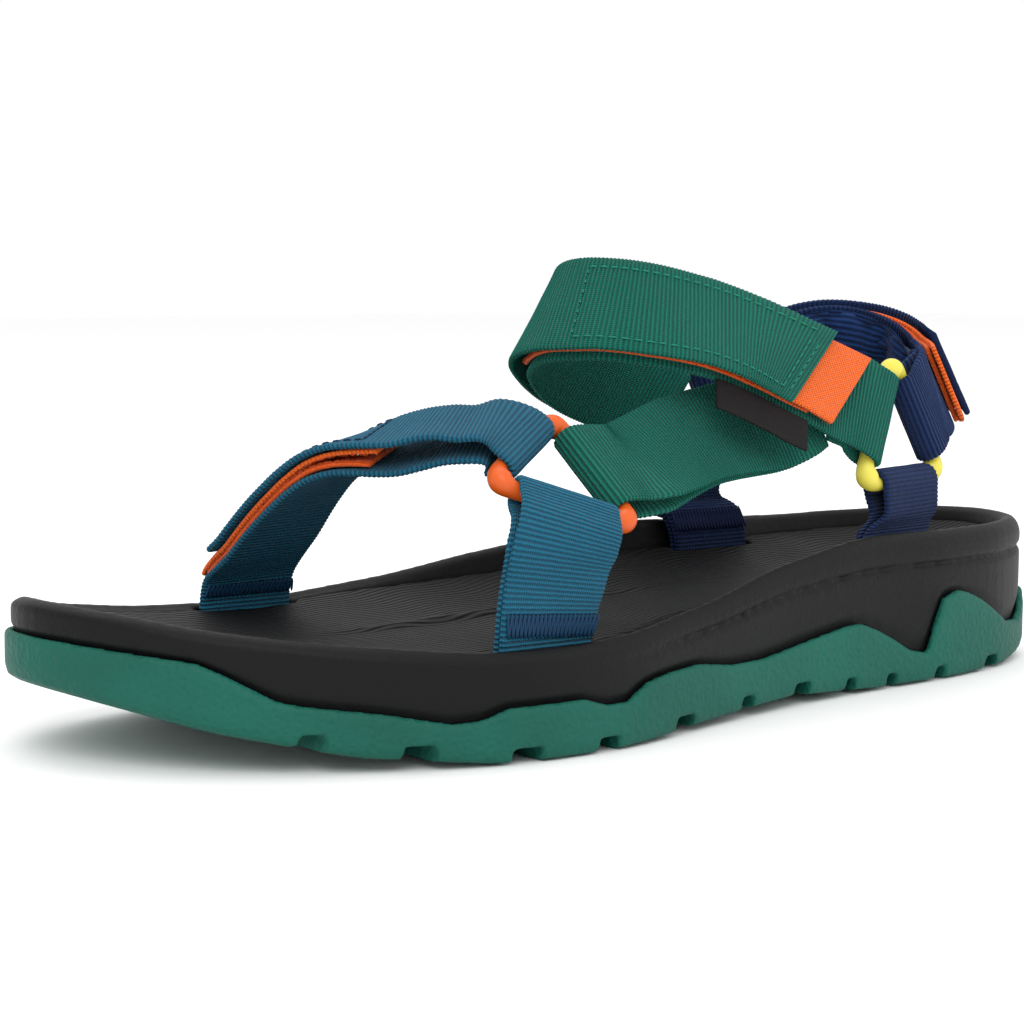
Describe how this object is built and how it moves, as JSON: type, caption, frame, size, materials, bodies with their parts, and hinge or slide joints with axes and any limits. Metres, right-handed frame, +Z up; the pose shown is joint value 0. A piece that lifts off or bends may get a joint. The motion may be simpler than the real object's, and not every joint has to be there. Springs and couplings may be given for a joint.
{
  "type": "strappy sport sandal",
  "caption": "Open sport sandal with a sculpted foam and rubber sole and woven straps run through rings, each closed by a hook-and-loop flap that peels open.",
  "frame": {"origin": "centre of the bounding box, at its base, where the tread stands on the ground", "axes": "+X from toe to heel, +Y from the outer side of the foot to the inner side, +Z up"},
  "size_m": [0.292, 0.109, 0.1075],
  "materials": {
    "tread_rubber": "fine leathery grain, satin",
    "sole_foam": "smooth moulded foam, matt",
    "footbed_foam": "moulded foam with fine ribs, matt",
    "shank_nylon": "plain moulded",
    "orange_ring": "moulded, satin gloss",
    "yellow_ring": "moulded, satin gloss",
    "teal_webbing": "woven webbing",
    "navy_webbing": "woven webbing",
    "green_webbing": "woven webbing with cross ribs",
    "loop_tape": "fuzzy loop pile",
    "hook_tape": "fine hooks on woven tape",
    "pad_fabric": "soft brushed lining",
    "label_fabric": "flat woven, folded",
    "teal_thread": "bar tack stitching",
    "navy_thread": "bar tack stitching"
  },
  "bodies": {
    "sandal_base": {"outsole": "tread_rubber", "midsole": "sole_foam", "footbed": "footbed_foam", "shank": "shank_nylon", "toe_ring": "orange_ring", "outer_heel_ring": "yellow_ring", "inner_heel_ring": "yellow_ring", "toe_anchor_strap": "teal_webbing", "outer_heel_anchor": "navy_webbing", "inner_heel_anchor": "navy_webbing", "side_strap": "green_webbing", "toe_strap": "teal_webbing", "toe_loop_tape": "loop_tape", "instep_strap": "green_webbing", "instep_loop_tape": "loop_tape", "heel_strap": "navy_webbing", "heel_loop_tape": "loop_tape", "heel_pad": "pad_fabric", "side_label": "label_fabric", "toe_anchor_tack": "teal_thread", "outer_heel_tack": "navy_thread", "inner_heel_tack": "navy_thread", "toe_strap_tack": "teal_thread"},
    "toe_flap": {"toe_strap_flap": "teal_webbing", "toe_hook_tape": "hook_tape"},
    "instep_flap": {"instep_strap_flap": "green_webbing", "instep_hook_tape": "hook_tape"},
    "heel_flap": {"heel_strap_flap": "navy_webbing", "heel_hook_tape": "hook_tape"}
  },
  "joints": [
    {"name": "toe_flap_peel", "type": "hinge", "parent": "sandal_base", "child": "toe_flap", "pos_m": [-0.05958, 0.00065, 0.06853], "axis": [0.7936, 0.5684, 0.217], "range_deg": [0, 100]},
    {"name": "instep_flap_peel", "type": "hinge", "parent": "sandal_base", "child": "instep_flap", "pos_m": [-0.00953, -0.00134, 0.09659], "axis": [-0.4679, -0.1899, -0.8632], "range_deg": [0, 100]},
    {"name": "heel_flap_peel", "type": "hinge", "parent": "sandal_base", "child": "heel_flap", "pos_m": [0.11212, 0.02411, 0.08425], "axis": [-0.13, -0.354, 0.9262], "range_deg": [0, 100]}
  ]
}
